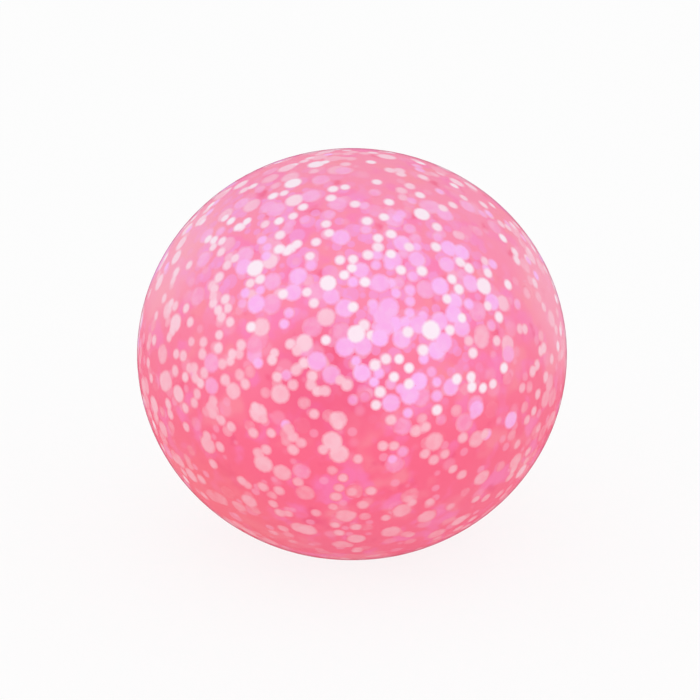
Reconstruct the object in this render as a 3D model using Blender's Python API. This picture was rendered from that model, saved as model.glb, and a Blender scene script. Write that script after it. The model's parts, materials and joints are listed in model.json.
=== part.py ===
"""A soft, clear squeeze ball filled with water beads and glitter, as separate solids.

Units are metres, +Z is up, and the origin is the middle of the flat that the ball rests on.
"""

from math import asin, ceil, cos, pi, sin, sqrt

import bmesh
import bpy
import numpy as np
from mathutils import Vector

# Driving dimensions of the skin
BALL_WIDTH = 0.060
BALL_FREE_HEIGHT = 0.0572  # of the whole ellipse, before its foot settles flat
SKIN_WALL = 0.0006
FOOT_LAND = 0.0043  # width of the flat ring that the ball rests on
FOOT_BLEND = 0.012  # radius of the round between that flat and the side
FIT_GAP = 0.0003  # between any two pieces that touch

# Driving dimensions of the filling hole, its plug and its seal
STEM_DIAMETER = 0.0034
CAP_DIAMETER = 0.0064
CAP_THICKNESS = 0.0009
CAP_SETBACK = 0.0003  # the cap lies this far above the floor
SEAL_WIDTH = 0.0009
NECK_WALL = 0.0009
NECK_LENGTH = 0.0023
BARB_DIAMETER = 0.0052
BARB_LENGTH = 0.0022
BARB_TIP_DIAMETER = 0.0020

# Driving dimensions of the water beads
BEAD_DIAMETER = 0.011
ROW_NEST = 0.003  # how far each row of beads may sink into the next
BEADS_PER_END_ROW = 5
BEADS_PER_MIDDLE_ROW = 7
MOST_MIDDLE_ROWS = 3
INNER_BEAD_STEP = 2  # an inner bead stands behind every second bead of its row

# Driving dimensions of the large glitter flakes
FLAKE_WIDTH = 0.0023
FLAKE_THICKNESS = 0.00015

# How finely the round shapes are cut
SKIN_SIDES = 40
UPPER_STEPS = 9
LOWER_STEPS = 7
FOOT_STEPS = 4
PLUG_SIDES = 24
BEAD_SIDES = 12
BEAD_RINGS = 8
FLAKE_SIDES = 12
CURVE_STEPS = 400  # of the curves that pieces are placed on
WELD = 1e-7
SHARP_ANGLE = pi / 6

# Sizes that follow from those above
STEM_BORE = STEM_DIAMETER / 2 + FIT_GAP
SEAL_INNER = CAP_DIAMETER / 2 + FIT_GAP
SEAL_OUTER = SEAL_INNER + SEAL_WIDTH
RECESS_RADIUS = SEAL_OUTER + FIT_GAP
CAP_TOP = CAP_SETBACK + CAP_THICKNESS
RECESS_TOP = CAP_TOP + FIT_GAP
NECK_RADIUS = RECESS_RADIUS + NECK_WALL
NECK_TOP = RECESS_TOP + NECK_LENGTH
BARB_FOOT = NECK_TOP + FIT_GAP
BARB_TOP = BARB_FOOT + BARB_LENGTH
FOOT_RADIUS = RECESS_RADIUS + FOOT_LAND
BEAD_PITCH = BEAD_DIAMETER + FIT_GAP
BEAD_DEPTH = SKIN_WALL + FIT_GAP + BEAD_DIAMETER / 2
FLAKE_DEPTH = SKIN_WALL + FIT_GAP + FLAKE_THICKNESS / 2
HALF_WIDTH = BALL_WIDTH / 2
HALF_HEIGHT = BALL_FREE_HEIGHT / 2


def ellipse_tilt(angle):
    """The angle above the horizon at which the ellipse faces, at an angle from its top."""
    return np.arctan2(np.cos(angle) / HALF_HEIGHT, np.sin(angle) / HALF_WIDTH)


def find_foot_angle():
    """Where the ellipse meets a round that ends at the foot's rim, by halving the range."""
    low = pi / 2
    high = pi
    for _ in range(60):
        middle = (low + high) / 2
        round_centre = HALF_WIDTH * sin(middle) - FOOT_BLEND * cos(ellipse_tilt(middle))
        if round_centre > FOOT_RADIUS:
            low = middle
        else:
            high = middle
    return low


FOOT_ANGLE = find_foot_angle()
BALL_CENTRE = FOOT_BLEND * (1 + sin(ellipse_tilt(FOOT_ANGLE))) - HALF_HEIGHT * cos(FOOT_ANGLE)


def wall_curve(depth, upper_steps, lower_steps, foot_steps):
    """Radius, height and tilt along a line that lies a depth inside the ball, top to foot."""
    upper_angle = np.linspace(0, pi / 2, upper_steps + 1)
    lower_angle = np.linspace(pi / 2, FOOT_ANGLE, lower_steps + 1)[1:]
    angle = np.concatenate([upper_angle, lower_angle])
    side_tilt = ellipse_tilt(angle)
    foot_tilt = np.linspace(side_tilt[-1], -pi / 2, foot_steps + 1)[1:]
    side_radius = HALF_WIDTH * np.sin(angle)
    side_height = BALL_CENTRE + HALF_HEIGHT * np.cos(angle)
    foot_radius = FOOT_RADIUS + FOOT_BLEND * np.cos(foot_tilt)
    foot_height = FOOT_BLEND + FOOT_BLEND * np.sin(foot_tilt)
    tilt = np.concatenate([side_tilt, foot_tilt])
    radius = np.concatenate([side_radius, foot_radius]) - depth * np.cos(tilt)
    height = np.concatenate([side_height, foot_height]) - depth * np.sin(tilt)
    return radius, height, tilt


def wall_at_height(depth, height):
    """Radius and tilt of that line at a height."""
    radii, heights, tilts = wall_curve(depth, CURVE_STEPS, CURVE_STEPS, CURVE_STEPS)
    radius = np.interp(height, heights[::-1], radii[::-1])
    tilt = np.interp(height, heights[::-1], tilts[::-1])
    return float(radius), float(tilt)


def wall_heights_at_radius(depth, radius):
    """The lower and the upper height of that line at a radius."""
    radii, heights, _ = wall_curve(depth, CURVE_STEPS, CURVE_STEPS, CURVE_STEPS)
    widest = int(radii.argmax())
    lower = np.interp(radius, radii[widest:][::-1], heights[widest:][::-1])
    upper = np.interp(radius, radii[: widest + 1], heights[: widest + 1])
    return float(lower), float(upper)


def make_material(name, colour, roughness, alpha=1.0, metallic=0.0):
    made = bpy.data.materials.new(name)
    made.use_nodes = True
    shader = made.node_tree.nodes["Principled BSDF"]
    shader.inputs["Base Color"].default_value = (*colour, 1.0)
    shader.inputs["Roughness"].default_value = roughness
    shader.inputs["Metallic"].default_value = metallic
    shader.inputs["Alpha"].default_value = alpha
    return made


def finished_mesh(shape, name, material):
    """A mesh from a bmesh, with its round faces shaded smooth."""
    mesh = bpy.data.meshes.new(name)
    shape.to_mesh(mesh)
    shape.free()
    mesh.materials.append(material)
    mesh.shade_smooth()
    mesh.set_sharp_from_angle(angle=SHARP_ANGLE)
    return mesh


def add_object(name, data, parent=None, location=(0, 0, 0)):
    made = bpy.data.objects.new(name, data)
    bpy.context.scene.collection.objects.link(made)
    made.parent = parent
    made.location = location
    return made


def turned(outline, sides, closed=False):
    """A solid turned about the Z axis from (radius, height) points; an open outline ends on the axis."""
    shape = bmesh.new()
    points = [shape.verts.new((radius, 0, height)) for radius, height in outline]
    ends = list(zip(points, points[1:]))
    if closed:
        ends.append((points[-1], points[0]))
    edges = [shape.edges.new(pair) for pair in ends]
    bmesh.ops.spin(
        shape, geom=points + edges, cent=(0, 0, 0), axis=(0, 0, 1), angle=2 * pi, steps=sides, use_merge=True
    )
    bmesh.ops.remove_doubles(shape, verts=shape.verts, dist=WELD)
    bmesh.ops.recalc_face_normals(shape, faces=shape.faces)
    return shape


def add_skin():
    """The clear skin: an even wall all round, with the filling hole and its neck in the foot."""
    outer_radius, outer_height, _ = wall_curve(0, UPPER_STEPS, LOWER_STEPS, FOOT_STEPS)
    inner_radius, inner_height, _ = wall_curve(SKIN_WALL, UPPER_STEPS, LOWER_STEPS, FOOT_STEPS)
    hole = [
        (RECESS_RADIUS, 0),
        (RECESS_RADIUS, RECESS_TOP),
        (STEM_BORE, RECESS_TOP),
        (STEM_BORE, NECK_TOP),
        (NECK_RADIUS, NECK_TOP),
        (NECK_RADIUS, SKIN_WALL),
    ]
    outside = list(zip(outer_radius, outer_height))
    inside = list(zip(inner_radius, inner_height))[::-1]
    clear_rubber = make_material("clear_soft_rubber", (1.0, 0.72, 0.80), 0.25, alpha=0.3)
    shape = turned(outside + hole + inside, SKIN_SIDES)
    add_object("clear_skin", finished_mesh(shape, "clear_skin", clear_rubber))


def add_plug():
    """The plug: a cap in the foot's recess, a stem in the neck and a barb that holds inside."""
    stem = STEM_DIAMETER / 2
    outline = [
        (0, BARB_TOP),
        (BARB_TIP_DIAMETER / 2, BARB_TOP),
        (BARB_DIAMETER / 2, BARB_FOOT),
        (stem, BARB_FOOT),
        (stem, CAP_TOP),
        (CAP_DIAMETER / 2, CAP_TOP),
        (CAP_DIAMETER / 2, CAP_SETBACK),
        (0, CAP_SETBACK),
    ]
    plug_rubber = make_material("plug_rubber", (1.0, 0.60, 0.72), 0.4)
    add_object("filling_plug", finished_mesh(turned(outline, PLUG_SIDES), "filling_plug", plug_rubber))


def add_seal():
    """The ring of cured sealant between the plug's cap and the side of the recess."""
    outline = [
        (SEAL_INNER, CAP_TOP),
        (SEAL_OUTER, CAP_TOP),
        (SEAL_OUTER, CAP_SETBACK),
        (SEAL_INNER, CAP_SETBACK),
    ]
    sealant = make_material("clear_sealant", (1.0, 0.82, 0.86), 0.2)
    shape = turned(outline, PLUG_SIDES, closed=True)
    add_object("sealant_ring", finished_mesh(shape, "sealant_ring", sealant))


def row_heights():
    """Radius of the two end rows of beads, and the heights of all rows, foot to top."""
    touching = BEAD_PITCH / 2 / sin(pi / BEADS_PER_END_ROW)
    foot_radius = max(touching, NECK_RADIUS + FIT_GAP + BEAD_DIAMETER / 2)
    foot_height, _ = wall_heights_at_radius(BEAD_DEPTH, foot_radius)
    _, top_height = wall_heights_at_radius(BEAD_DEPTH, touching)
    spaces = int((top_height - foot_height) / (BEAD_DIAMETER - ROW_NEST))
    middle_rows = min(MOST_MIDDLE_ROWS, spaces - 1)
    return foot_radius, touching, np.linspace(foot_height, top_height, middle_rows + 2)


def on_circle(radius, angle):
    return radius * cos(angle), radius * sin(angle), 0


def core_place(radius, half_gap):
    """One bead in the middle, against the first inner bead or, in a tight middle, in their widest gap."""
    if radius >= BEAD_PITCH:
        return on_circle(radius - BEAD_PITCH, 0)
    reach = sqrt(BEAD_PITCH**2 - (radius * sin(half_gap)) ** 2)
    return on_circle(radius * cos(half_gap) + reach, -half_gap)


def inner_places(row_radius):
    """Beads behind those of the middle row, which they touch, and one that rests against these."""
    radius = row_radius - BEAD_PITCH
    pitch_angle = 2 * pi / BEADS_PER_MIDDLE_ROW
    clear_angle = 2 * asin(min(1, BEAD_PITCH / 2 / radius))
    step = ceil(max(INNER_BEAD_STEP, clear_angle / pitch_angle))
    angles = [pitch_angle * i for i in range(0, BEADS_PER_MIDDLE_ROW - step + 1, step)]
    places = [on_circle(radius, angle) for angle in angles]
    return places + [core_place(radius, pi - angles[-1] / 2)]


def bead_rows():
    """For each row, foot to top: its height, its beads' places and its flakes' angles."""
    foot_radius, top_radius, heights = row_heights()
    last = len(heights) - 1
    rows = []
    for i, height in enumerate(heights):
        middle = 0 < i < last
        count = BEADS_PER_MIDDLE_ROW if middle else BEADS_PER_END_ROW
        radius = {0: foot_radius, last: top_radius}.get(i, wall_at_height(BEAD_DEPTH, height)[0])
        half_turn = pi / count * ((i - last // 2) % 2)
        angles = [half_turn + 2 * pi * k / count for k in range(count)]
        places = [on_circle(radius, angle) for angle in angles]
        if i == last // 2:
            places += inner_places(radius)
        flakes = [angle + pi / count for angle in angles] if middle else []
        rows.append((float(height), places, flakes))
    return rows


def bead_mesh():
    shape = bmesh.new()
    bmesh.ops.create_uvsphere(shape, u_segments=BEAD_SIDES, v_segments=BEAD_RINGS, radius=BEAD_DIAMETER / 2)
    return finished_mesh(shape, "water_bead", make_material("pink_gel", (0.98, 0.30, 0.45), 0.15, alpha=0.6))


def flake_meshes():
    """One thin round plate in each of the three glitter colours."""
    colours = {"pearl": (1.0, 0.88, 0.94), "lilac": (0.90, 0.45, 0.92), "pink": (1.0, 0.62, 0.68)}
    meshes = []
    for name, colour in colours.items():
        shape = bmesh.new()
        bmesh.ops.create_cone(
            shape,
            cap_ends=True,
            segments=FLAKE_SIDES,
            radius1=FLAKE_WIDTH / 2,
            radius2=FLAKE_WIDTH / 2,
            depth=FLAKE_THICKNESS,
        )
        glitter = make_material(f"{name}_glitter", colour, 0.3, metallic=0.2)
        meshes.append(finished_mesh(shape, f"{name}_flake", glitter))
    return meshes


def add_filling():
    """Beads and flakes, each row on an empty on the ball's axis, along which the row is pressed."""
    bead = bead_mesh()
    flakes = flake_meshes()
    bead_count = 0
    flake_count = 0
    for number, (height, places, flake_angles) in enumerate(bead_rows(), start=1):
        row = add_object(f"bead_row_{number}", None, location=(0, 0, height))
        for place in places:
            bead_count += 1
            add_object(f"water_bead_{bead_count:02d}", bead, parent=row, location=place)
        for angle in flake_angles:
            flake_count += 1
            radius, tilt = wall_at_height(FLAKE_DEPTH, height)
            plate = flakes[flake_count % len(flakes)]
            flake = add_object(f"glitter_flake_{flake_count:02d}", plate, row, on_circle(radius, angle))
            outward = Vector((cos(tilt) * cos(angle), cos(tilt) * sin(angle), sin(tilt)))
            flake.rotation_euler = outward.to_track_quat("Z", "Y").to_euler()


def main():
    for old in list(bpy.data.objects):
        bpy.data.objects.remove(old, do_unlink=True)
    add_skin()
    add_plug()
    add_seal()
    add_filling()


main()
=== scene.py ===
# %% [markdown]
# # A squeeze ball full of water beads and glitter
#
# The real toy is a clear rubber ball. Tinted water, swollen gel beads and round glitter go in through a
# hole in its foot, and a plug closes it. The solids of those pieces come packed as a fixed frame. This
# lesson gives each piece its finished shape and surface around that frame, and then lights the ball. All
# sizes are in metres.

# %% Load the frame
import json
from collections import namedtuple
from math import cos, pi, radians, sin, sqrt

import bmesh
import bpy
import numpy as np
from mathutils import Matrix, Vector, noise
from mathutils.bvhtree import BVHTree


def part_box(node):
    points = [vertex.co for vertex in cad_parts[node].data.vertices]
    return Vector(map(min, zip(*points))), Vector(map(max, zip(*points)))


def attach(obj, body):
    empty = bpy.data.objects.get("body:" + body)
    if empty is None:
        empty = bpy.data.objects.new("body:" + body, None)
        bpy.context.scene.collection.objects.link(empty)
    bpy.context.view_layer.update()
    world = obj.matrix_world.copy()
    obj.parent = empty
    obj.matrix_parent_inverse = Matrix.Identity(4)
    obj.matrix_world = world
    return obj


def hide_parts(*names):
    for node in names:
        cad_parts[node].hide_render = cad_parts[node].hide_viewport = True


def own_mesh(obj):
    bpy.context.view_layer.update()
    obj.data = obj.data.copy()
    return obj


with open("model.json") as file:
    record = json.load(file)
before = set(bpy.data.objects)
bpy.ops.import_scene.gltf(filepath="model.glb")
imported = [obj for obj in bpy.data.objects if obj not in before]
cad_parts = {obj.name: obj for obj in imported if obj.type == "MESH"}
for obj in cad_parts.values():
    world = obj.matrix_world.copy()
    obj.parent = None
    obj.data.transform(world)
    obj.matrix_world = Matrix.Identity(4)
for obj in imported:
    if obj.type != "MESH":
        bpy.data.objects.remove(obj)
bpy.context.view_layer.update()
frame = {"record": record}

# %% [markdown]
# ## The camera
#
# The camera comes first, because the flakes placed by pixels depend on it. The ball's outline is a little
# wider than it is high, which fits a flattened ball seen from about 20 degrees above its table. The width
# of the outline in pixels then fixes the lens.

# %% Place the camera
VIEW_ELEVATION = radians(20)
VIEW_DISTANCE = 0.35
IMAGE_SIDE = 700  # pixels
PIXELS_PER_METRE = 7141  # at the distance of the ball's middle
BALL_PIXEL_X = 352.0  # where the ball's middle lies in the image
BALL_PIXEL_Y = 353.7
FREE_HEIGHT = 0.0572  # of the whole ellipse, before the foot settles flat

skin_low, skin_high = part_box("clear_skin")
half_width = (skin_high.x - skin_low.x) / 2
half_height = FREE_HEIGHT / 2
ball_middle = Vector((0, 0, skin_high.z - half_height))
toward_camera = Vector((0, -cos(VIEW_ELEVATION), sin(VIEW_ELEVATION)))

camera_data = bpy.data.cameras.new("camera")
camera_data.lens = camera_data.sensor_width * VIEW_DISTANCE * PIXELS_PER_METRE / IMAGE_SIDE
camera_data.shift_x = (IMAGE_SIDE / 2 - BALL_PIXEL_X) / IMAGE_SIDE
camera_data.shift_y = (BALL_PIXEL_Y - IMAGE_SIDE / 2) / IMAGE_SIDE
camera = bpy.data.objects.new("camera", camera_data)
camera.location = ball_middle + toward_camera * VIEW_DISTANCE
camera.rotation_euler = toward_camera.to_track_quat("Z", "Y").to_euler()
bpy.context.scene.collection.objects.link(camera)
bpy.context.scene.camera = camera
print(f"lens {camera_data.lens:.1f} mm, ball {half_width * 2000:.1f} mm wide")

# %% [markdown]
# ## Nodes for the finishes
#
# Every finish below is a small tree of shader nodes. One helper adds a node and fills its inputs: a
# number or colour is typed into the socket, and the output of another node is linked to it. Colours are
# written as they look on a screen, from 0 to 255, and turned into the linear values that light needs.

# %% Helpers for materials
def screen_colour(red, green, blue):
    """A screen colour as a linear colour with full opacity, by the usual sRGB curve."""
    shares = np.array([red, green, blue]) / 255
    linear = np.where(shares <= 0.04045, shares / 12.92, ((shares + 0.055) / 1.055) ** 2.4)
    return (*linear.tolist(), 1.0)


def add_node(tree, kind, inputs=(), **settings):
    """A new node; settings are its own properties, and inputs are values or other nodes' outputs."""
    made = tree.nodes.new(kind)
    for name, value in settings.items():
        setattr(made, name, value)
    for socket, value in dict(inputs).items():
        if isinstance(value, bpy.types.NodeSocket):
            tree.links.new(value, made.inputs[socket])
        else:
            made.inputs[socket].default_value = value
    return made


def mix_colours(tree, share, first, second):
    """The output of a node that goes from the first colour to the second."""
    return add_node(tree, "ShaderNodeMix", {0: share, 6: first, 7: second}, data_type="RGBA").outputs[2]


def mix_surfaces(tree, share, first, second):
    """The output of a node that goes from the first shader to the second."""
    return add_node(tree, "ShaderNodeMixShader", {0: share, 1: first, 2: second}).outputs[0]


def rise(tree, value, low, high, top=1.0):
    """Zero up to low, a top value from high on, and a smooth change between; low may be the larger."""
    inputs = {"Value": value, "From Min": low, "From Max": high, "To Max": top}
    return add_node(tree, "ShaderNodeMapRange", inputs, interpolation_type="SMOOTHSTEP").outputs[0]


def new_finish(name):
    """A material, its node tree and its Principled shader."""
    material = bpy.data.materials.new(name)
    material.use_nodes = True
    return material, material.node_tree, material.node_tree.nodes["Principled BSDF"]


def set_surface(tree, surface):
    """Show a shader's output on the material's surface."""
    tree.links.new(surface, tree.nodes["Material Output"].inputs["Surface"])


print("pink on screen (246, 143, 180) is", [round(x, 3) for x in screen_colour(246, 143, 180)[:3]])

# %% [markdown]
# ## The pink of the filling
#
# Between the flakes the filling is a cloudy pink, paler at the top and nearer coral at the bottom. That
# change with height is partly the filling's own tone and partly painted light from above and painted
# shade below. It has soft patches of salmon and magenta a few millimetres wide. Some places are paler or
# deeper, and where the glitter drifts together, sunken flakes show as soft lilac spots. Water and beads
# share this pink, so it is one function on Object coordinates: the height above the table mixes the lit
# top and the shaded bottom, noise mixes the patches, the distance from a place on the wall gives each
# cloud, and
# Voronoi cells give the spots.

# %% Pinks and clouds
# The top and foot pinks are partly the filling's own tone and partly painted light and shade: paler at
# the top as if lit from above, deeper coral at the foot as if in shade.
LIT_TOP_PINK = screen_colour(255, 150, 183)
SHADED_FOOT_PINK = screen_colour(255, 112, 145)
SALMON = screen_colour(255, 152, 168)
MAGENTA = screen_colour(255, 136, 194)
DEEP_ROSE = screen_colour(246, 90, 134)
PALE_SALMON = screen_colour(255, 184, 206)
CORAL = screen_colour(255, 118, 132)
SUNKEN_LILAC = screen_colour(250, 168, 228)
SHADED_CORAL_BELOW = 0.0195  # heights above the table
LIT_ROSE_ABOVE = 0.0495
PATCHES = [  # colour, scale of the noise, and the noise at which a patch starts and is full
    (SALMON, 170, 0.50, 0.68),
    (MAGENTA, 230, 0.50, 0.66),
    (DEEP_ROSE, 300, 0.60, 0.76),
]
PATCH_SHARE = 0.65  # how strongly the patches cover
SPOT_SCALES = (600, 365)  # of small and large spots
SPOT_EDGE = 0.46  # where a spot ends, in cells from its middle
SPOT_CORE = 0.32  # and where it is full
PLAIN_CLOUDS = [  # colour, way out from the ball's middle, reach while full, reach at the end, share
    (DEEP_ROSE, (-0.10, -0.98, 0.24), 0.004, 0.011, 0.55),
    (DEEP_ROSE, (-0.80, 0.10, -0.35), 0.003, 0.010, 0.45),
    (DEEP_ROSE, (-0.05, 0.95, -0.10), 0.003, 0.010, 0.45),
    (PALE_SALMON, (0.94, -0.13, 0.32), 0.005, 0.014, 0.55),
    (PALE_SALMON, (-0.83, -0.12, 0.55), 0.005, 0.014, 0.55),
    (PALE_SALMON, (0.25, 0.80, 0.55), 0.005, 0.014, 0.55),
    (CORAL, (-0.64, -0.53, -0.56), 0.006, 0.016, 0.60),
    (CORAL, (0.60, 0.50, -0.60), 0.006, 0.016, 0.60),
]
SPOT_CLOUDS = [  # the same
    (SUNKEN_LILAC, (0.26, -0.75, 0.61), 0.006, 0.020, 0.62),
    (SUNKEN_LILAC, (-0.38, -0.46, 0.80), 0.006, 0.018, 0.62),
    (SUNKEN_LILAC, (-0.70, 0.60, 0.38), 0.006, 0.020, 0.62),
    (SUNKEN_LILAC, (0.75, 0.65, 0.10), 0.006, 0.020, 0.62),
]
print(f"{len(PATCHES)} patches, {len(PLAIN_CLOUDS)} plain clouds, {len(SPOT_CLOUDS)} clouds of spots")

# %% The shared pink
def wall_toward(way):
    """The point of the wall in a direction from the ball's middle."""
    x, y, z = Vector(way).normalized()
    return ball_middle + Vector((x * half_width, y * half_width, z * half_height))


def cloud_share(tree, place, way, full, end, share):
    """How strongly a cloud covers a place, as an output."""
    inputs = {0: place, 1: wall_toward(way)}
    away = add_node(tree, "ShaderNodeVectorMath", inputs, operation="DISTANCE").outputs["Value"]
    return rise(tree, away, end, full, share)


def cloudy_pink(tree):
    """The mottled pink of the filling, as a colour output."""
    place = add_node(tree, "ShaderNodeTexCoord").outputs["Object"]
    height = add_node(tree, "ShaderNodeSeparateXYZ", {0: place}).outputs["Z"]
    # Painted light at the top and painted shade at the foot, over the filling's own change of tone.
    pink = mix_colours(tree, rise(tree, height, SHADED_CORAL_BELOW, LIT_ROSE_ABOVE), SHADED_FOOT_PINK, LIT_TOP_PINK)
    for number, (colour, scale, low, high) in enumerate(PATCHES, start=1):
        shifted = add_node(tree, "ShaderNodeMapping", {"Vector": place, "Location": (number, 0, 0)})
        inputs = {"Vector": shifted.outputs[0], "Scale": scale, "Detail": 2.0}
        cloud = add_node(tree, "ShaderNodeTexNoise", inputs).outputs[0]
        pink = mix_colours(tree, rise(tree, cloud, low, high, PATCH_SHARE), pink, colour)
    for colour, *cloud in PLAIN_CLOUDS:
        pink = mix_colours(tree, cloud_share(tree, place, *cloud), pink, colour)
    for scale in SPOT_SCALES:
        inputs = {"Vector": place, "Scale": scale}
        away = add_node(tree, "ShaderNodeTexVoronoi", inputs).outputs["Distance"]
        spot = rise(tree, away, SPOT_EDGE, SPOT_CORE)
        for colour, *cloud in SPOT_CLOUDS:
            inputs = {0: cloud_share(tree, place, *cloud), 1: spot}
            cover = add_node(tree, "ShaderNodeMath", inputs, operation="MULTIPLY").outputs[0]
            pink = mix_colours(tree, cover, pink, colour)
    return pink


for colour, way, *_ in SPOT_CLOUDS:
    print("a cloud of spots at", [round(part * 1000, 1) for part in wall_toward(way)], "mm")

# %% [markdown]
# ## The line of the wall
#
# Seen from the side, the ball is an ellipse that runs through a round into its flat foot. Every layer of
# the filling follows that line at some depth, so one function gives the line at any depth. Spinning it
# about the axis is the quickest way to a closed, even ball.

# %% The wall's line
FOOT_RADIUS = 0.009
FOOT_ROUND = 0.012
ANGLE_SAMPLES = 2000


def ellipse_tilt(angle):
    """How far above the horizon the ellipse faces, at an angle from its top."""
    return np.arctan2(np.cos(angle) / half_height, np.sin(angle) / half_width)


lower_angles = np.linspace(pi / 2, pi, ANGLE_SAMPLES)
round_centres = half_width * np.sin(lower_angles) - FOOT_ROUND * np.cos(ellipse_tilt(lower_angles))
foot_angle = np.interp(-FOOT_RADIUS, -round_centres, lower_angles)


def wall_line(depth, side_steps=64, foot_steps=16):
    """Radius, height and tilt along a line a depth inside the ball, from its top to its foot."""
    angle = np.linspace(0, foot_angle, side_steps + 1)
    side_tilt = ellipse_tilt(angle)
    foot_tilt = np.linspace(side_tilt[-1], -pi / 2, foot_steps + 1)[1:]
    tilt = np.concatenate([side_tilt, foot_tilt])
    radius = np.concatenate([half_width * np.sin(angle), FOOT_RADIUS + FOOT_ROUND * np.cos(foot_tilt)])
    side_height = ball_middle.z + half_height * np.cos(angle)
    height = np.concatenate([side_height, FOOT_ROUND + FOOT_ROUND * np.sin(foot_tilt)])
    return radius - depth * np.cos(tilt), height - depth * np.sin(tilt), tilt


def wall_points(depth):
    """The same line as (radius, height) points."""
    radius, height, _ = wall_line(depth)
    return list(zip(radius, height))


print(f"the round of the foot starts {np.degrees(foot_angle):.1f} degrees from the top")

# %% Turn a line into a piece
SPIN_STEPS = 144
WELD = 1e-6
SHARP_ANGLE = radians(35)
ROUND_SEGMENTS = 3


def spin_line(shape, points, finish=0):
    """Turn (radius, height) points about the ball's axis into faces with one of a piece's finishes."""
    old_faces = set(shape.faces)
    line = [shape.verts.new((radius, 0, height)) for radius, height in points]
    edges = [shape.edges.new(pair) for pair in zip(line, line[1:])]
    turn = {"cent": (0, 0, 0), "axis": (0, 0, 1), "angle": 2 * pi, "steps": SPIN_STEPS}
    bmesh.ops.spin(shape, geom=line + edges, use_merge=True, **turn)
    for face in set(shape.faces) - old_faces:
        face.material_index = finish


def close_turned(shape):
    """Weld a turned shape at its poles and joins, and point its faces outwards."""
    bmesh.ops.remove_doubles(shape, verts=shape.verts, dist=WELD)
    bmesh.ops.recalc_face_normals(shape, faces=shape.faces)


def round_edges(shape, width):
    """Round every sharp edge of a turned shape."""
    sharp = [edge for edge in shape.edges if edge.calc_face_angle(0) > SHARP_ANGLE]
    settings = {"affect": "EDGES", "segments": ROUND_SEGMENTS, "profile": 0.5, "material": -1}
    bmesh.ops.bevel(shape, geom=sharp, offset=width, **settings)


def add_piece(name, shape, *finishes):
    """The finished object of a shape, with round faces shaded smooth."""
    mesh = bpy.data.meshes.new(name)
    shape.to_mesh(mesh)
    shape.free()
    for finish in finishes:
        mesh.materials.append(finish)
    mesh.shade_smooth()
    mesh.set_sharp_from_angle(angle=SHARP_ANGLE)
    piece = bpy.data.objects.new(name, mesh)
    bpy.context.scene.collection.objects.link(piece)
    print(f"{name}: {len(mesh.polygons)} faces")
    return piece


print(f"turned in steps of {360 / SPIN_STEPS} degrees")

# %% [markdown]
# ## The bodies that carry the pieces
#
# A hand presses the ball flatter, and everything soft in it flattens alike. The joint lowers each row of
# beads in proportion to its height. Here each piece is put on the body that carries it, a row of beads or
# the ball, with a mesh of its own, and the solids of the frame that it stands for are hidden.


def middle_of(node):
    """The middle of a node's box at rest."""
    low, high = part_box(node)
    return (low + high) / 2


def row_nodes(row, start):
    """The nodes on a row of beads whose names start with a word."""
    return [node for node in frame["record"]["behaviour"]["bodies"][row] if node.startswith(start)]


bead_rows = [f"bead_row_{number}" for number in range(1, 6)]


def carry(piece, body, slot, *nodes):
    """Put a piece on a body, give it its own mesh, and hide the solids of the frame that it stands for.
    """
    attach(piece, body)
    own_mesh(piece)
    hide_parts(*nodes)


# %% [markdown]
# ## The clear skin
#
# The skin is an even wall of soft, clear rubber. It bends the view inwards, so that the glitter behind it
# reaches right to the outline. A Refraction shader gives that to the camera, and all other light passes
# straight through, because so thin a wall throws no shadow. Where the view runs along the wall, at the
# very outline, the rubber is thick and deepens to mauve. Its inner wall is plain and clear. The collar
# round the filling hole is thick and looks milky.

# %% Clear rubber
SKIN_BEND = 1.4  # refractive index
SKIN_SHINE = 0.08  # at the outline
FACE_ON_TINT = (1.0, 0.985, 0.99, 1.0)
EDGE_TINT = (0.62, 0.42, 0.50, 1.0)
EDGE_STARTS = 0.84  # where the wall starts to look thick, from 0, face on, to 1, edge on
SHINE_RISE = (0.1, 0.75)  # the same, where the shine starts and is full
HAZE_TINTS = ((1.0, 0.99, 0.995, 1.0), (1.0, 0.975, 0.98, 1.0))


def clear_rubber():
    """Rubber that bends the view, deepens along the outline and has a soft shine."""
    material, tree, _ = new_finish("clear_soft_rubber")
    facing = add_node(tree, "ShaderNodeLayerWeight", {"Blend": 0.5}).outputs["Facing"]
    tint = mix_colours(tree, rise(tree, facing, EDGE_STARTS, 1.0), FACE_ON_TINT, EDGE_TINT)
    inputs = {"Color": tint, "Roughness": 0.0, "IOR": SKIN_BEND}
    bent = add_node(tree, "ShaderNodeBsdfRefraction", inputs).outputs[0]
    straight = add_node(tree, "ShaderNodeBsdfTransparent", {"Color": FACE_ON_TINT}).outputs[0]
    seen = add_node(tree, "ShaderNodeLightPath").outputs["Is Camera Ray"]
    wall = mix_surfaces(tree, seen, straight, bent)
    place = add_node(tree, "ShaderNodeTexCoord").outputs["Object"]
    grain = add_node(tree, "ShaderNodeTexNoise", {"Vector": place, "Scale": 1400}).outputs[0]
    inputs = {"Height": grain, "Strength": 0.08, "Distance": 0.0002}
    bump = add_node(tree, "ShaderNodeBump", inputs).outputs[0]
    gloss = add_node(tree, "ShaderNodeBsdfGlossy", {"Roughness": 0.4, "Normal": bump}).outputs[0]
    shine = rise(tree, facing, *SHINE_RISE, SKIN_SHINE)
    set_surface(tree, mix_surfaces(tree, shine, wall, gloss))
    return material


def clear_inner_wall():
    """Clear rubber with a faint haze, which bends nothing."""
    material, tree, _ = new_finish("inner_wall")
    place = add_node(tree, "ShaderNodeTexCoord").outputs["Object"]
    haze = add_node(tree, "ShaderNodeTexNoise", {"Vector": place, "Scale": 120}).outputs[0]
    tint = mix_colours(tree, haze, *HAZE_TINTS)
    set_surface(tree, add_node(tree, "ShaderNodeBsdfTransparent", {"Color": tint}).outputs[0])
    return material


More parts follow.
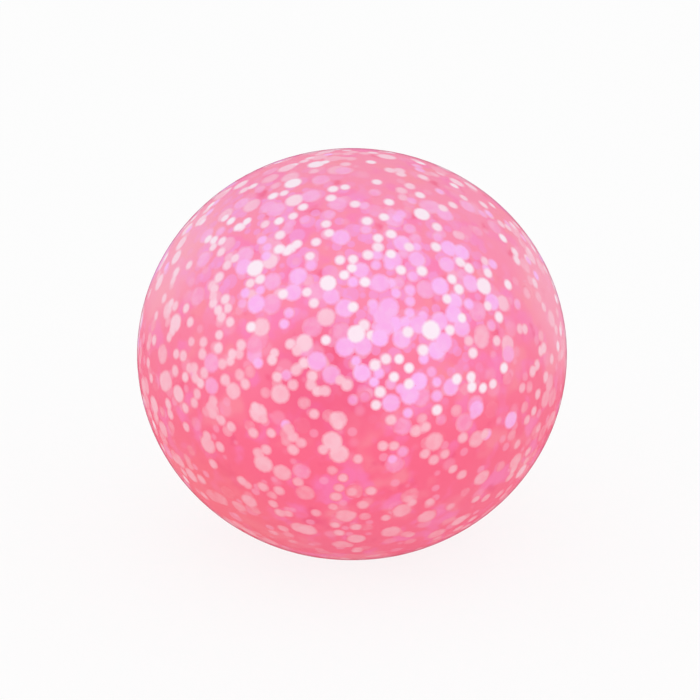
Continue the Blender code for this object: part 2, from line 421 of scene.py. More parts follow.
print(f"the rubber has a refractive index of {SKIN_BEND}, and mirrors {SKIN_SHINE:.0%} at its outline")

# %% Milky rubber
WORN_NOISE = (0.35, 0.7)  # the noise at which worn rubber starts and is full
MILKY_PINK = screen_colour(250, 176, 196)
MILKY_WORN = screen_colour(253, 192, 208)


def soft_rubber(name, colour, worn, roughness):
    """Cloudy rubber in two colours, with a fine grain."""
    material, tree, rubber = new_finish(name)
    place = add_node(tree, "ShaderNodeTexCoord").outputs["Object"]
    inputs = {"Vector": place, "Scale": 700, "Detail": 3.0}
    cloud = add_node(tree, "ShaderNodeTexNoise", inputs).outputs[0]
    tint = mix_colours(tree, rise(tree, cloud, *WORN_NOISE), colour, worn)
    tree.links.new(tint, rubber.inputs["Base Color"])
    inputs = {"Height": cloud, "Strength": 0.1, "Distance": 0.0001}
    bump = add_node(tree, "ShaderNodeBump", inputs).outputs[0]
    tree.links.new(bump, rubber.inputs["Normal"])
    rubber.inputs["Roughness"].default_value = roughness
    return material


milky_rubber = soft_rubber("milky_rubber", MILKY_PINK, MILKY_WORN, roughness=0.4)
print(f"{milky_rubber.name}: {len(milky_rubber.node_tree.nodes)} nodes")

# %% Spin the skin
SKIN_WALL = 0.0006
STEM_BORE = 0.002
RECESS_RADIUS = 0.0047
RECESS_TOP = 0.0015
NECK_RADIUS = 0.0056
NECK_TOP = 0.0038
MILKY_RADIUS = 0.0064
COLLAR_ROUND = 0.00025

collar_line = [
    (MILKY_RADIUS, 0),
    (RECESS_RADIUS, 0),
    (RECESS_RADIUS, RECESS_TOP),
    (STEM_BORE, RECESS_TOP),
    (STEM_BORE, NECK_TOP),
    (NECK_RADIUS, NECK_TOP),
    (NECK_RADIUS, SKIN_WALL),
    (MILKY_RADIUS, SKIN_WALL),
]
skin_shape = bmesh.new()
spin_line(skin_shape, wall_points(0) + [(MILKY_RADIUS, 0)], finish=0)
spin_line(skin_shape, wall_points(SKIN_WALL) + [(MILKY_RADIUS, SKIN_WALL)], finish=1)
spin_line(skin_shape, collar_line, finish=2)
close_turned(skin_shape)
round_edges(skin_shape, COLLAR_ROUND)
skin = add_piece("ball_skin", skin_shape, clear_rubber(), clear_inner_wall(), milky_rubber)
carry(skin, "ball", "clear_soft_rubber", "clear_skin")

# %% [markdown]
# ## The cloudy water
#
# The water between the beads is tinted and cloudy, so it hides what lies deeper than the glitter. A
# liquid has no solid in the frame. Here it is the surface at which the view ends: a closed ball just
# under the layer of flakes, which steps round the neck and the plug in the foot. Flakes that float
# deeper show through it as faint pale spots, which two scales of a Voronoi texture give.

# %% Cloudy water
WATER_DEPTH = 0.0010
PLUG_CLEARANCE = 0.0004
PLUG_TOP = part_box("filling_plug")[1].z + PLUG_CLEARANCE
POCKET_RADIUS = NECK_RADIUS + PLUG_CLEARANCE
DEEP_FLAKE = screen_colour(255, 176, 205)
DEEP_SPOTS = ((330, 0.26, 0.50), (200, 0.27, 0.40))  # scale of the cells, reach in cells, share
DEEP_FADE = 0.12  # over which a spot fades, in cells


def cloudy_water():
    """The shared pink, with pale spots where flakes float deeper."""
    material, tree, water = new_finish("cloudy_water")
    colour = cloudy_pink(tree)
    place = add_node(tree, "ShaderNodeTexCoord").outputs["Object"]
    for scale, reach, share in DEEP_SPOTS:
        inputs = {"Vector": place, "Scale": scale, "Randomness": 1.0}
        away = add_node(tree, "ShaderNodeTexVoronoi", inputs).outputs["Distance"]
        spot = rise(tree, away, reach, reach - DEEP_FADE, share)
        colour = mix_colours(tree, spot, colour, DEEP_FLAKE)
    tree.links.new(colour, water.inputs["Base Color"])
    water.inputs["Roughness"].default_value = 0.6
    water.inputs["Specular IOR Level"].default_value = 0.1
    return material


pocket_line = [
    (POCKET_RADIUS, WATER_DEPTH),
    (POCKET_RADIUS, NECK_TOP + PLUG_CLEARANCE),
    (POCKET_RADIUS / 2, PLUG_TOP),
    (0, PLUG_TOP),
]
water_shape = bmesh.new()
spin_line(water_shape, wall_points(WATER_DEPTH) + pocket_line)
close_turned(water_shape)
water = add_piece("tinted_water", water_shape, cloudy_water())
carry(water, "ball", "pink_gel")

# %% [markdown]
# ## The gel beads
#
# Water beads are balls of swollen gel, all much alike, pressed against the skin by the full ball. Each
# starts as an icosphere, which has no poles, at the place of its solid. Only their outermost caps come
# near the surface of the cloudy water.

# %% Gel beads, row by row
def bead_gel():
    """The shared pink, wet and smooth."""
    material, tree, gel = new_finish("pink_gel")
    tree.links.new(cloudy_pink(tree), gel.inputs["Base Color"])
    gel.inputs["Roughness"].default_value = 0.25
    return material


gel_finish = bead_gel()
for row in bead_rows:
    row_shape = bmesh.new()
    bead_nodes = row_nodes(row, "water_bead")
    for node in bead_nodes:
        low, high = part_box(node)
        matrix = Matrix.Translation((low + high) / 2)
        bmesh.ops.create_icosphere(row_shape, subdivisions=4, radius=(high.z - low.z) / 2, matrix=matrix)
    row_piece = add_piece(f"{row}_beads", row_shape, gel_finish)
    carry(row_piece, row, "pink_gel", *bead_nodes)

# %% [markdown]
# ## The glitter
#
# The glitter is what the eye sees first: thin round flakes in two sizes, pearl white, lilac and pale
# pink, floating in the water just behind the skin. Each is a thin plate, bent to the round of the ball,
# with a ring let into its outer face. One plate of each size is modelled, and all flakes are copies of
# it. A colour attribute holds the tint of every corner.

# %% One flake of each size
FLAKE_WIDTHS = {"large": 0.0027, "small": 0.0017}
FLAKE_THICKNESS = 0.00001
FLAKE_SIDES = 12
SOFT_RIM = 0.0004  # included in the widths


def flake_plate(size):
    """The mesh of one flake at the origin; its tint is one inside the ring and zero along the rim."""
    shape = bmesh.new()
    tint = shape.verts.layers.float_color.new("tint")
    half = FLAKE_WIDTHS[size] / 2
    sizes = {"radius1": half, "radius2": half, "depth": FLAKE_THICKNESS, "segments": FLAKE_SIDES}
    bmesh.ops.create_cone(shape, cap_ends=True, **sizes)
    outer = max(shape.faces, key=lambda face: face.calc_center_median().z)
    bmesh.ops.inset_individual(shape, faces=[outer], thickness=SOFT_RIM)
    for vert in shape.verts:
        vert[tint] = (1, 1, 1, 1) if outer in vert.link_faces else (0, 0, 0, 1)
        vert.co.z -= vert.co.xy.length_squared / (2 * half_width)
    mesh = bpy.data.meshes.new(f"{size}_flake")
    shape.to_mesh(mesh)
    shape.free()
    return mesh


def read_numbers(data, name, width):
    """One property of many mesh elements, as rows of numbers."""
    numbers = np.empty(len(data) * width)
    data.foreach_get(name, numbers)
    return numbers.reshape(-1, width)


flake_plates = {size: flake_plate(size) for size in FLAKE_WIDTHS}
in_ring = {
    size: read_numbers(plate.color_attributes["tint"].data, "color", 4)[:, :1] > 0.5
    for size, plate in flake_plates.items()
}
print({size: f"{len(plate.polygons)} faces" for size, plate in flake_plates.items()})

# %% [markdown]
# ## The colours of the glitter
#
# On the side towards the camera, one drift of glitter is lilac and bright, and the flakes below and
# beside it are paler and take on the pink of the water that they have sunk into. That drift lies where
# flakes mirror the light from above and to the right, so its lilac and pearl are partly the glitter's own
# colour and partly painted reflection. Other drifts lie round the back and repeat it. Flakes low on the
# ball take on salmon as painted shade, and pearl grows likelier towards the top as painted light. A
# flake's kind is drawn by chance, with better chances for lilac inside a drift.

# %% Tints
FLAKE_COLOURS = {
    "pearl": np.array(screen_colour(255, 246, 255)),
    "lilac": np.array(screen_colour(254, 190, 252)),
    "pink": np.array(screen_colour(255, 225, 239)),
}
# Flakes tilted further down than these get salmon mixed into their tint, as painted shade for the pink
# light under the ball.
UNSHADED_ABOVE = {"pearl": 0.10, "lilac": 0.10, "pink": 0.65}  # the upward tilt above which a tint is pure
SHADE_SALMON_SHARE = 0.7  # of salmon, for flakes on the ball's underside
SPOT_MEAN = 0.5  # of the strength of a cloud of spots, taken over spots and gaps
# The first drift, in front, lies where flakes mirror the light from above and to the right: its lilac and
# pearl are partly the glitter's own colour and partly painted reflection. The other two repeat it round
# the back.
GLINT_DRIFTS = [Vector((0.18, -0.76, 0.62)), Vector((-0.70, 0.60, 0.38)), Vector((0.75, 0.65, 0.10))]
GLINT_DRIFT_EDGE = 0.60  # cosine of the angle from a drift's middle to its edge
GLINT_DRIFT_RISE = 0.34  # and how much more it is where the drift is full
LILAC_CHANCE = 0.05
LILAC_IN_GLINT_DRIFT = 0.40  # added in the middle of a drift
PEARL_CHANCE = 0.25
PEARL_IN_GLINT_DRIFT = 0.15
# Painted light: pearl, the whitest tint, grows likelier towards the top of the ball.
PEARL_LIT_ON_TOP = 0.10  # added at the top of the ball
SEED = 20
random = np.random.default_rng(SEED)


def drift_and_glint_share(outward):
    """How far a place lies in a drift of lilac glitter and painted reflection, from zero to one."""
    nearest = max(outward.dot(drift.normalized()) for drift in GLINT_DRIFTS)
    return float(np.clip((nearest - GLINT_DRIFT_EDGE) / GLINT_DRIFT_RISE, 0, 1))


def water_tints(places):
    """The pink of the water at some places, as rows, with the clouds at their mean strength."""
    # The same change with height as the filling, with its painted light at the top and painted shade at
    # the foot.
    share = np.interp(places[:, 2], (SHADED_CORAL_BELOW, LIT_ROSE_ABOVE), (0, 1))[:, None]
    tints = np.array(SHADED_FOOT_PINK) * (1 - share) + np.array(LIT_TOP_PINK) * share
    for clouds, mean in ((PLAIN_CLOUDS, 1), (SPOT_CLOUDS, SPOT_MEAN)):
        for colour, way, full, end, most in clouds:
            away = np.linalg.norm(places - np.array(wall_toward(way)), axis=1)
            share = np.interp(away, (full, end), (most * mean, 0))[:, None]
            tints = tints * (1 - share) + np.array(colour) * share
    return tints


def flake_tint(kind, place, outward, sunk):
    """A flake's tint: salmon low on the ball, as painted shade, and pinker the deeper it has sunk into
    the water.
    """
    # Painted shade: salmon for flakes that face downwards.
    low = SHADE_SALMON_SHARE * float(np.clip(UNSHADED_ABOVE[kind] - outward.z, 0, 1))
    tint = FLAKE_COLOURS[kind] * (1 - low) + np.array(SALMON) * low
    return tint * (1 - sunk) + water_tints(np.array([place]))[0] * sunk


def lilac_chance(outward):
    """The chance that a flake in a direction is lilac."""
    return LILAC_CHANCE + LILAC_IN_GLINT_DRIFT * drift_and_glint_share(outward)


def flake_kind(outward):
    """A kind drawn by chance for a flake in a direction."""
    lilac = lilac_chance(outward)
    # Pearl is likelier in a drift, as painted reflection, and towards the top, as painted light.
    pearl = PEARL_CHANCE + PEARL_IN_GLINT_DRIFT * drift_and_glint_share(outward) + PEARL_LIT_ON_TOP * outward.z
    return str(random.choice(["lilac", "pearl", "pink"], p=[lilac, pearl, 1 - lilac - pearl]))


for side, way in (("in front", (0, -1, 0)), ("on top", (0, 0, 1))):
    print(f"chance of lilac {side}: {lilac_chance(Vector(way)):.2f}")

# %% [markdown]
# ## Layers of flakes
#
# Flakes overlap, and two plates at the same depth would cut through each other. So they lie in thin
# layers, one behind the other. A flake is given some of the layers, and takes the outermost of them in
# which it touches no other. The widths vary a little, as those of cut glitter do.

# %% A place in a layer
FIRST_DEPTH = 0.00064
LAYER_STEP = 0.00004
LAYER_COUNT = 8
LAYER_DEPTHS = [FIRST_DEPTH + LAYER_STEP * number for number in range(LAYER_COUNT)]
WIDTH_SPREAD = (0.92, 1.10)  # of flakes, as shares of their usual width
Flake = namedtuple("Flake", "size scale kind layer place outward tint")
flakes = []
taken_places = [np.empty((0, 4)) for _ in LAYER_DEPTHS]


def lay_flake(size, kind, point, outward, sunk, layers):
    """Add a flake under a point of the wall, in the first layer that has room; False if none has."""
    scale = random.uniform(*WIDTH_SPREAD)
    width = FLAKE_WIDTHS[size] * scale
    tint = flake_tint(kind, point, outward, sunk)
    for layer in layers:
        place = point - outward * LAYER_DEPTHS[layer]
        others = taken_places[layer]
        if np.all(np.linalg.norm(others[:, :3] - place, axis=1) > (others[:, 3] + width) / 2):
            taken_places[layer] = np.vstack([others, (*place, width)])
            flakes.append(Flake(size, scale, kind, layer, place, outward, tint))
            return True
    return False


print(f"{LAYER_COUNT} layers, {FIRST_DEPTH * 1000:.2f} to {LAYER_DEPTHS[-1] * 1000:.2f} mm deep")

# %% [markdown]
# ## Flakes in view
#
# The flakes that catch the eye in the photograph were read off it one by one, as pixels. A ray from the
# camera through such a pixel is bent at the skin and meets the layers at the flake's real place, so each
# lies flat under the skin from every side. Faint flakes have sunk deeper into the cloudy water.

# %% Pixels of the flakes
LARGE_PEARL = [(293, 183), (255, 268), (328, 283), (431, 330), (484, 286), (356, 334), (422, 214)]
LARGE_LILAC = [
    (298, 276), (331, 296), (402, 243), (417, 259), (380, 283), (389, 307), (462, 252), (440, 286),
    (447, 264), (454, 314), (462, 327), (402, 339), (384, 327), (419, 325), (317, 361), (362, 373),
    (391, 403), (410, 395), (511, 420), (293, 292), (256, 304), (341, 237), (345, 308), (345, 347),
    (471, 283), (361, 270), (382, 317), (394, 324), (380, 338), (363, 346), (440, 321), (444, 342),
    (455, 301), (419, 381), (437, 350), (451, 387),
]
LARGE_PINK = [
    (294, 200), (201, 220), (326, 317), (280, 394), (233, 391), (164, 382), (178, 394), (258, 413),
    (338, 420), (332, 441), (339, 454), (263, 464), (282, 473), (249, 501), (307, 530), (345, 516),
    (434, 442), (402, 511), (427, 517), (391, 532), (459, 521), (516, 461), (187, 229), (181, 243),
    (176, 257), (159, 282), (175, 323), (261, 327), (270, 261), (304, 343), (457, 182), (471, 186),
    (154, 405), (163, 429), (299, 528), (356, 539),
]
SMALL_PEARL = [
    (273, 196), (284, 193), (325, 162), (333, 189), (345, 187), (331, 198), (303, 207), (293, 216),
    (279, 221), (211, 205), (260, 279), (316, 242), (326, 224), (329, 233), (310, 256), (283, 294),
    (307, 292), (314, 303), (340, 260), (344, 275), (251, 327), (279, 249), (287, 251), (297, 244),
    (280, 235), (225, 218), (231, 221), (238, 227), (247, 221), (214, 240), (222, 241), (371, 162),
    (377, 182), (389, 202), (355, 204), (420, 195), (384, 217), (367, 221), (391, 234), (378, 238),
    (378, 247), (436, 247), (437, 227), (368, 255), (391, 254), (353, 259), (352, 268), (401, 270),
    (422, 271), (365, 282), (460, 262), (469, 268), (488, 273), (452, 279), (459, 289), (447, 299),
    (488, 306), (499, 317), (462, 318), (450, 330), (364, 325), (371, 335), (353, 307), (408, 332),
    (423, 350), (503, 238), (375, 365), (386, 359), (399, 359), (409, 368), (394, 377), (409, 384),
    (380, 392), (376, 405), (473, 353), (437, 410), (504, 368), (471, 377), (457, 379), (472, 387),
    (483, 388), (493, 384), (253, 186), (326, 340), (409, 247), (241, 227), (291, 248), (208, 239),
]
SMALL_LILAC = [
    (311, 265), (289, 313), (284, 324), (376, 265), (390, 265), (410, 290), (410, 301), (373, 304),
    (410, 313), (469, 304), (374, 382), (437, 396), (401, 389), (408, 413), (258, 363), (266, 256),
    (260, 290), (245, 293), (262, 240), (267, 247), (493, 264), (413, 276), (396, 293), (391, 283),
    (353, 282), (377, 327), (406, 322), (423, 316), (377, 255), (356, 361), (379, 373), (424, 359),
    (437, 382),
]
SMALL_PINK = [
    (310, 158), (265, 224), (221, 252), (235, 258), (227, 265), (219, 277), (250, 283), (214, 289),
    (213, 296), (213, 303), (218, 310), (221, 317), (225, 299), (228, 308), (230, 322), (164, 298),
    (171, 303), (175, 306), (169, 310), (186, 308), (190, 322), (390, 170), (401, 174), (410, 186),
    (453, 205), (443, 208), (485, 261), (490, 215), (492, 205), (535, 283), (544, 307), (525, 329),
    (469, 341), (497, 341), (176, 354), (183, 356), (202, 354), (232, 354), (239, 354), (297, 351),
    (272, 360), (304, 363), (296, 370), (312, 376), (277, 377), (340, 380), (347, 385), (245, 384),
    (225, 380), (222, 364), (230, 361), (194, 368), (204, 373), (195, 378), (200, 383), (197, 394),
    (194, 403), (186, 427), (253, 433), (271, 433), (314, 414), (258, 453), (266, 450), (298, 482),
    (279, 491), (273, 504), (316, 513), (209, 448), (213, 464), (220, 447), (311, 385), (317, 391),
    (325, 391), (213, 401), (211, 406), (213, 413), (221, 420), (231, 427), (288, 429), (293, 437),
    (301, 443), (293, 450), (343, 478), (339, 488), (336, 497), (333, 507), (391, 420), (426, 427),
    (425, 454), (445, 454), (434, 460), (383, 446), (394, 446), (463, 438), (474, 442), (485, 434),
    (453, 469), (462, 475), (358, 459), (527, 420), (538, 394), (537, 365), (552, 359), (546, 377),
    (476, 499), (486, 498), (408, 499), (412, 503), (430, 502), (386, 518), (371, 491), (363, 505),
    (410, 535), (244, 190), (228, 190), (189, 265), (176, 272), (173, 280), (161, 266), (169, 337),
    (172, 331), (154, 340), (203, 342), (219, 335), (218, 348), (241, 345), (213, 247), (290, 344),
    (423, 177), (515, 252), (517, 260), (544, 348), (148, 363), (151, 378), (175, 371), (185, 377),
    (189, 368), (185, 408), (168, 404), (170, 414), (156, 416), (207, 436), (242, 481), (247, 485),
    (263, 487), (280, 513), (288, 514), (335, 525), (339, 533), (323, 450), (335, 417), (338, 425),
    (274, 353), (255, 407), (263, 419), (416, 431), (541, 351), (533, 371), (534, 411), (528, 452),
    (514, 469), (510, 477), (352, 492), (351, 515), (356, 527), (293, 385),
]
FAINT_LARGE_LILAC = [
    (203, 259), (271, 304), (272, 281), (268, 206), (276, 209), (241, 203), (321, 179), (311, 195),
    (270, 171), (343, 170), (206, 235), (244, 255), (197, 296), (254, 345), (312, 327), (341, 331),
    (338, 203), (478, 311), (426, 289), (394, 219), (468, 206), (433, 206), (254, 355), (211, 386),
    (211, 363), (421, 397), (509, 354), (476, 405), (465, 423), (395, 465),
]
FAINT_LARGE_PINK = [
    (251, 205), (515, 231), (527, 238), (531, 256), (541, 266), (482, 339), (162, 354), (146, 386),
    (163, 438), (341, 545), (220, 499), (239, 507), (546, 399), (553, 397), (551, 420), (524, 472),
    (437, 534),
]
FAINT_SMALL_LILAC = [
    (220, 231), (329, 214), (305, 219), (290, 223), (287, 229), (492, 325), (518, 304), (399, 282),
    (438, 237), (416, 238), (364, 205), (410, 228), (375, 192), (412, 200), (391, 384), (432, 372),
    (353, 400), (365, 397), (403, 452),
]
FAINT_SMALL_PINK = [
    (365, 153), (434, 174), (187, 459), (174, 455), (283, 529), (273, 533), (288, 535), (332, 471),
    (304, 403), (265, 393), (239, 375), (293, 542), (530, 387), (500, 494), (365, 517), (466, 517),
    (451, 507),
]
SEEN_FLAKES = [  # size, kind, least and most sunk, first layer, pixels
    ("large", "pearl", 0.00, 0.10, 0, LARGE_PEARL),
    ("small", "pearl", 0.00, 0.20, 0, SMALL_PEARL),
    ("large", "lilac", 0.00, 0.25, 1, LARGE_LILAC),
    ("small", "lilac", 0.00, 0.22, 1, SMALL_LILAC),
    ("small", "pink", 0.00, 0.28, 1, SMALL_PINK),
    ("large", "pink", 0.00, 0.32, 2, LARGE_PINK),
    ("small", "lilac", 0.40, 0.70, 4, FAINT_SMALL_LILAC),
    ("small", "pink", 0.40, 0.70, 4, FAINT_SMALL_PINK),
    ("large", "lilac", 0.45, 0.75, 4, FAINT_LARGE_LILAC),
    ("large", "pink", 0.40, 0.70, 4, FAINT_LARGE_PINK),
]
print(f"{sum(len(row[-1]) for row in SEEN_FLAKES)} pixels")

# %% From a pixel to the wall
def tree_of_layer(depth):
    """The wall at a depth, as a tree that rays can be cast at."""
    shape = bmesh.new()
    spin_line(shape, wall_points(depth))
    close_turned(shape)
    tree = BVHTree.FromBMesh(shape)
    shape.free()
    return tree


outer_wall = tree_of_layer(0)
flake_layer = tree_of_layer(FIRST_DEPTH)


def wall_at_pixel(x, y):
    """The point of the wall above the flake that a pixel shows, and the way out of the ball there."""
    across = (x - IMAGE_SIDE / 2) / IMAGE_SIDE + camera_data.shift_x
    up = (IMAGE_SIDE / 2 - y) / IMAGE_SIDE + camera_data.shift_y
    ray = Vector((across, up, -camera_data.lens / camera_data.sensor_width)).normalized()
    ray.rotate(camera.rotation_euler)
    point, outward, _, _ = outer_wall.ray_cast(camera.location, ray)
    along = (ray - outward * ray.dot(outward)) / SKIN_BEND
    inwards = along - outward * sqrt(1 - along.length_squared)
    place, outward, _, _ = flake_layer.ray_cast(point, inwards)
    return place + outward * FIRST_DEPTH, outward


middle_place, _ = wall_at_pixel(BALL_PIXEL_X, BALL_PIXEL_Y)
print("the ball's middle pixel shows", [round(part * 1000, 1) for part in middle_place], "mm")

# %% Lay the flakes in view
for size, kind, least, most, first_layer, pixels in SEEN_FLAKES:
    layers = range(first_layer, LAYER_COUNT)
    for x, y in pixels:
        point, outward = wall_at_pixel(x, y)
        sunk = random.uniform(least, most)
        if not lay_flake(size, kind, point, outward, sunk, layers):
            print("no room for a flake at", x, y)
print(f"{len(flakes)} flakes placed by pixels")

# %% [markdown]
# ## The rest of the glitter
#
# All other flakes are scattered. They gather in nets along the seams between beads and leave small bare
# patches. A Voronoi pattern has such seams, so a flake is kept more often where the two nearest Voronoi
# points are equally far. Places are drawn by area, because equal steps in height would crowd the top.

# %% Places for scattered flakes
SEAM_CELL = 0.0068  # width of a bare patch
SEAM_FADE = 2.2  # how fast flakes thin out away from a seam

line_radius, line_height, line_tilt = wall_line(0, side_steps=600, foot_steps=200)
band_length = np.hypot(np.diff(line_radius), np.diff(line_height))
band_area = band_length * (line_radius[1:] + line_radius[:-1]) / 2
area_share = np.concatenate([[0], np.cumsum(band_area)]) / band_area.sum()


def random_point():
    """A point of the wall, drawn by area, and the way out of the ball there."""
    share = random.random()
    turn = random.uniform(0, 2 * pi)
    lines = (line_radius, line_height, line_tilt)
    radius, height, tilt = (np.interp(share, area_share, line) for line in lines)
    outward = Vector((cos(tilt) * cos(turn), cos(tilt) * sin(turn), sin(tilt)))
    return Vector((radius * cos(turn), radius * sin(turn), height)), outward


def seam_share(place):
    """One on a seam between beads, and less towards the middle of a bare patch."""
    nearest, _ = noise.voronoi(place / SEAM_CELL)
    return max(0.0, 1 - SEAM_FADE * (nearest[1] - nearest[0]))


print(f"wall area {band_area.sum() * 2 * pi * 1e4:.0f} square centimetres")

# %% Scatter the rest
SCATTERED = {  # small and large flakes, least and most sunk, layers, share of them kept in view
    "bright": (600, 125, 0.05, 0.40, (0, 1), 0.02),
    "drift": (220, 110, 0.05, 0.55, (2, 3, 4), 0.10),
    "faint": (620, 150, 0.55, 0.88, (5, 6), 0.30),
}
OFF_SEAM = 0.12  # chance of a flake in the middle of a bare patch
GLINT_DRIFT_POWER = 1.5  # a higher power keeps a drift closer together
VIEW_EDGE = (0.15, 0.5)  # cosines of the angles from the camera between which the side in view begins


def keep_chance(group, point, outward, in_view):
    """How likely a flake of a group stays where it was drawn; the side in view has flakes of its own."""
    # The drift group keeps its lilac flakes inside the drifts of lilac glitter and painted reflection.
    if group == "drift":
        chance = drift_and_glint_share(outward) ** GLINT_DRIFT_POWER
    else:
        chance = OFF_SEAM + (1 - OFF_SEAM) * seam_share(point)
    return chance * float(np.interp(outward.dot(toward_camera), VIEW_EDGE, (1, in_view)))


for group, (small_count, large_count, least, most, layers, in_view) in SCATTERED.items():
    for size, count in (("large", large_count), ("small", small_count)):
        made = 0
        while made < count:
            point, outward = random_point()
            if random.random() > keep_chance(group, point, outward, in_view):
                continue
            kind = "lilac" if group == "drift" else flake_kind(outward)
            made += lay_flake(size, kind, point, outward, random.uniform(least, most), layers)
print(f"{len(flakes)} flakes in all")

# %% [markdown]
# ## Flakes between the beads
#
# Some flakes are solids of the frame. They lie between two beads of a row, deepest of all, and move with
# the row, so the pieces that stand for them ride on it.

# %% Flakes that ride on the rows
ROW_FLAKE_SUNK = 0.6
flake_slots = {part["node"]: part["material_slot"] for part in frame["record"]["subparts"]}
squares = (half_width**2, half_width**2, half_height**2)
row_flakes = {}
for row in bead_rows:
    for node in row_nodes(row, "glitter_flake"):
        place = middle_of(node)
        away = place - ball_middle
        outward = Vector([part / square for part, square in zip(away, squares)]).normalized()
        kind = flake_slots[node].removesuffix("_glitter")
        tint = flake_tint(kind, place, outward, ROW_FLAKE_SUNK)
        row_flakes[node] = Flake("large", 1.0, kind, LAYER_COUNT, place, outward, tint)
print(f"{len(row_flakes)} flakes ride on rows of beads")

# %% [markdown]
# ## Making the glitter
#
# A flake seen through hazy rubber has no crisp edge. So the corners along its rim take the tint of what
# lies right behind them, which is the water or a deeper flake, and the tint fades across the rim.

# %% What shows behind a rim
all_flakes = flakes + list(row_flakes.values())
centres = np.array([flake.place for flake in all_flakes])
halves = np.array([FLAKE_WIDTHS[flake.size] / 2 * flake.scale for flake in all_flakes])
depths = np.array([flake.layer for flake in all_flakes])
flake_tints = np.array([flake.tint for flake in all_flakes])


def tints_behind(flake, corners):
    """What shows right behind each corner of a flake: the water, and over it the deeper flakes there."""
    tints = water_tints(corners)
    near = np.linalg.norm(centres - flake.place, axis=1) < 2 * halves.max()
    deeper = np.flatnonzero(near & (depths > flake.layer))
    for index in sorted(deeper, key=lambda index: -depths[index]):
        away = np.linalg.norm(corners - centres[index], axis=1, keepdims=True)
        cover = np.clip((halves[index] - away) / SOFT_RIM, 0, 1)
        tints = tints * (1 - cover) + flake_tints[index] * cover
    return tints


print(f"{np.bincount(depths)} flakes in the layers, from the outermost in")

# %% Glitter finish
SHIMMER = (1.0, 0.97, 1.0, 1.0)
SHIMMER_NOISE = (0.3, 0.7)  # the noise at which the shimmer starts and is full
SHIMMER_SHARE = 0.12


def glitter():
    """Pearl film in the tint of its corners, with a faint shimmer."""
    material, tree, flake = new_finish("glitter")
    tint = add_node(tree, "ShaderNodeVertexColor", layer_name="tint").outputs["Color"]
    place = add_node(tree, "ShaderNodeTexCoord").outputs["Object"]
    shimmer = add_node(tree, "ShaderNodeTexNoise", {"Vector": place, "Scale": 900}).outputs[0]
    share = rise(tree, shimmer, *SHIMMER_NOISE, SHIMMER_SHARE)
    tree.links.new(mix_colours(tree, share, tint, SHIMMER), flake.inputs["Base Color"])
    flake.inputs["Roughness"].default_value = 0.4
    flake.inputs["Specular IOR Level"].default_value = 0.2
    return material


glitter_finish = glitter()
print(f"{glitter_finish.name}: {len(glitter_finish.node_tree.nodes)} nodes")

# %% Pieces of glitter
def add_glitter(name, some_flakes, body, kind, *nodes):
    """A piece of glitter, which throws no shadow because cloudy water spreads the light round it."""
    shape = bmesh.new()
    for flake in some_flakes:
        plate = flake_plates[flake.size].copy()
        turn = flake.outward.to_track_quat("Z", "Y").to_matrix().to_4x4()
        plate.transform(Matrix.Translation(flake.place) @ turn @ Matrix.Scale(flake.scale, 4))
        corners = read_numbers(plate.vertices, "co", 3)
        tints = np.where(in_ring[flake.size], flake.tint, tints_behind(flake, corners))
        plate.color_attributes["tint"].data.foreach_set("color", tints.ravel())
        shape.from_mesh(plate)
        bpy.data.meshes.remove(plate)
    piece = add_piece(name, shape, glitter_finish)
    piece.visible_shadow = False
    piece.visible_diffuse = False
    carry(piece, body, f"{kind}_glitter", *nodes)


for kind in FLAKE_COLOURS:
    for size in FLAKE_WIDTHS:
        alike = [flake for flake in flakes if (flake.size, flake.kind) == (size, kind)]
        add_glitter(f"{size}_{kind}_flakes", alike, "ball", kind)
    for row in bead_rows:
        nodes = [node for node in row_nodes(row, "glitter_flake") if row_flakes[node].kind == kind]
        if nodes:
            add_glitter(f"{row}_{kind}_flakes", [row_flakes[node] for node in nodes], row, kind, *nodes)

# %% [markdown]
# ## The plug and its seal
#
# Under the foot, a plug closes the filling hole. It is turned like the ball: a cap with a dimple from
# the mould, a stem in the neck, and a barb that holds it inside. A bead of cured sealant lies round the
# cap. Both sit where their solids are, with all edges rounded.

# %% Plug and sealant ring
STEM_RADIUS = 0.0017
BARB_RADIUS = 0.0026
BARB_FOOT = 0.0041
BARB_TIP = 0.0010
DIMPLE_RADIUS = 0.0011
DIMPLE_DEPTH = 0.00025
PLUG_ROUND = 0.0002
SEAL_ROUND = 0.00035
PLUG_PINK = screen_colour(244, 150, 178)
PLUG_WORN = screen_colour(248, 170, 192)
SEAL_PINK = screen_colour(250, 214, 222)
SEAL_WORN = screen_colour(255, 228, 232)

plug_low, plug_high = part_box("filling_plug")
seal_low, seal_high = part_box("sealant_ring")
cap_radius = plug_high.x
seal_inner = cap_radius + (RECESS_RADIUS - seal_high.x)
plug_line = [
    (0, plug_high.z),
    (BARB_TIP, plug_high.z),
    (BARB_RADIUS, BARB_FOOT),
    (STEM_RADIUS, BARB_FOOT),
    (STEM_RADIUS, seal_high.z),
    (cap_radius, seal_high.z),
    (cap_radius, plug_low.z),
    (DIMPLE_RADIUS, plug_low.z),
    (DIMPLE_RADIUS, plug_low.z + DIMPLE_DEPTH),
    (0, plug_low.z + DIMPLE_DEPTH),
]
seal_line = [
    (seal_inner, seal_high.z),
    (seal_high.x, seal_high.z),
    (seal_high.x, seal_low.z),
    (seal_inner, seal_low.z),
    (seal_inner, seal_high.z),
]
plug_finish = soft_rubber("pink_rubber", PLUG_PINK, PLUG_WORN, roughness=0.45)
seal_finish = soft_rubber("cured_sealant", SEAL_PINK, SEAL_WORN, roughness=0.25)
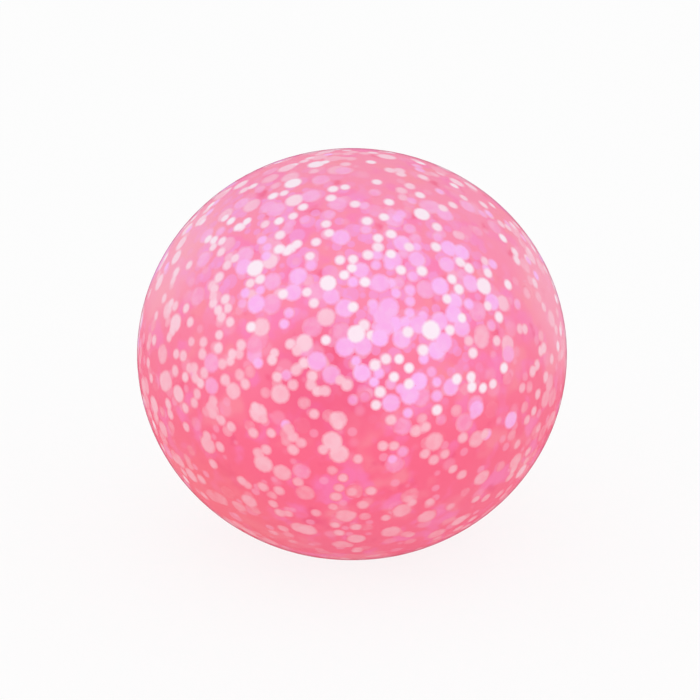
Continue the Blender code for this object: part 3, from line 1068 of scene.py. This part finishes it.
for name, node, slot, line, width, finish in (
    ("turned_plug", "filling_plug", "plug_rubber", plug_line, PLUG_ROUND, plug_finish),
    ("sealant_bead", "sealant_ring", "clear_sealant", seal_line, SEAL_ROUND, seal_finish),
):
    shape = bmesh.new()
    spin_line(shape, line)
    close_turned(shape)
    round_edges(shape, width)
    carry(add_piece(name, shape, finish), "ball", slot, node)

# %% [markdown]
# ## Floor and light
#
# The photograph is high-key: white all round, with hardly a shadow. A white world gives most of that,
# and three large, low lamps, one on each side and a weaker one in front, lift the lower half of the ball.
# The floor is nearly white and keeps the soft shadow.

# %% Floor
TABLE_GLOW = 0.45  # share of the table's light that it gives by itself
TABLE_WHITE = 0.85  # and as the camera sees it
TABLE_GREY = (0.92, 0.92, 0.92, 1.0)
FLOOR_SIDE = 6.0
FLOOR_DROP = 0.0002  # below the ball's foot


def pale_floor():
    """A matte floor with some light of its own, which isn't there from below."""
    material, tree, _ = new_finish("pale_floor")
    matte = add_node(tree, "ShaderNodeBsdfDiffuse", {"Color": TABLE_GREY}).outputs[0]
    white = add_node(tree, "ShaderNodeEmission", {"Strength": 1.0}).outputs[0]
    path = add_node(tree, "ShaderNodeLightPath")
    inputs = {0: path.outputs["Is Camera Ray"], 1: path.outputs["Is Glossy Ray"]}
    seen = add_node(tree, "ShaderNodeMath", inputs, operation="MAXIMUM").outputs[0]
    inputs = {"Value": seen, "To Min": TABLE_GLOW, "To Max": TABLE_WHITE}
    share = add_node(tree, "ShaderNodeMapRange", inputs).outputs[0]
    lit = mix_surfaces(tree, share, matte, white)
    below = add_node(tree, "ShaderNodeNewGeometry").outputs["Backfacing"]
    nothing = add_node(tree, "ShaderNodeBsdfTransparent").outputs[0]
    set_surface(tree, mix_surfaces(tree, below, lit, nothing))
    return material


floor_shape = bmesh.new()
floor_place = Matrix.Translation((0, 0, -FLOOR_DROP))
bmesh.ops.create_grid(floor_shape, x_segments=1, y_segments=1, size=FLOOR_SIDE / 2, matrix=floor_place)
add_piece("floor", floor_shape, pale_floor())

# %% World and lamps
WORLD_LIGHT = 0.92
LAMP_DISTANCE = 0.9
LAMP_SIDE = 0.7
LAMPS = {  # way from the ball, watts
    "left_lamp": (Vector((-0.75, -0.60, 0.28)), 0.47),
    "right_lamp": (Vector((0.75, -0.60, 0.28)), 0.40),
    "front_lamp": (Vector((0.05, -0.98, 0.22)), 0.2),
}

world = bpy.data.worlds.new("studio")
bpy.context.scene.world = world
world.use_nodes = True
sky = world.node_tree
path = add_node(sky, "ShaderNodeLightPath")
inputs = {"Value": path.outputs["Is Camera Ray"], "To Min": WORLD_LIGHT, "To Max": 1.0}
strength = add_node(sky, "ShaderNodeMapRange", inputs).outputs[0]
background = sky.nodes["Background"]
background.inputs["Color"].default_value = (1, 1, 1, 1)
sky.links.new(strength, background.inputs["Strength"])

for name, (way, power) in LAMPS.items():
    lamp_data = bpy.data.lights.new(name, "AREA")
    lamp_data.size = LAMP_SIDE
    lamp_data.energy = power
    lamp = bpy.data.objects.new(name, lamp_data)
    lamp.location = ball_middle + way.normalized() * LAMP_DISTANCE
    lamp.rotation_euler = way.to_track_quat("Z", "Y").to_euler()
    bpy.context.scene.collection.objects.link(lamp)

bpy.context.scene.view_settings.view_transform = "Standard"
print(f"world {WORLD_LIGHT}, {len(LAMPS)} soft lamps")
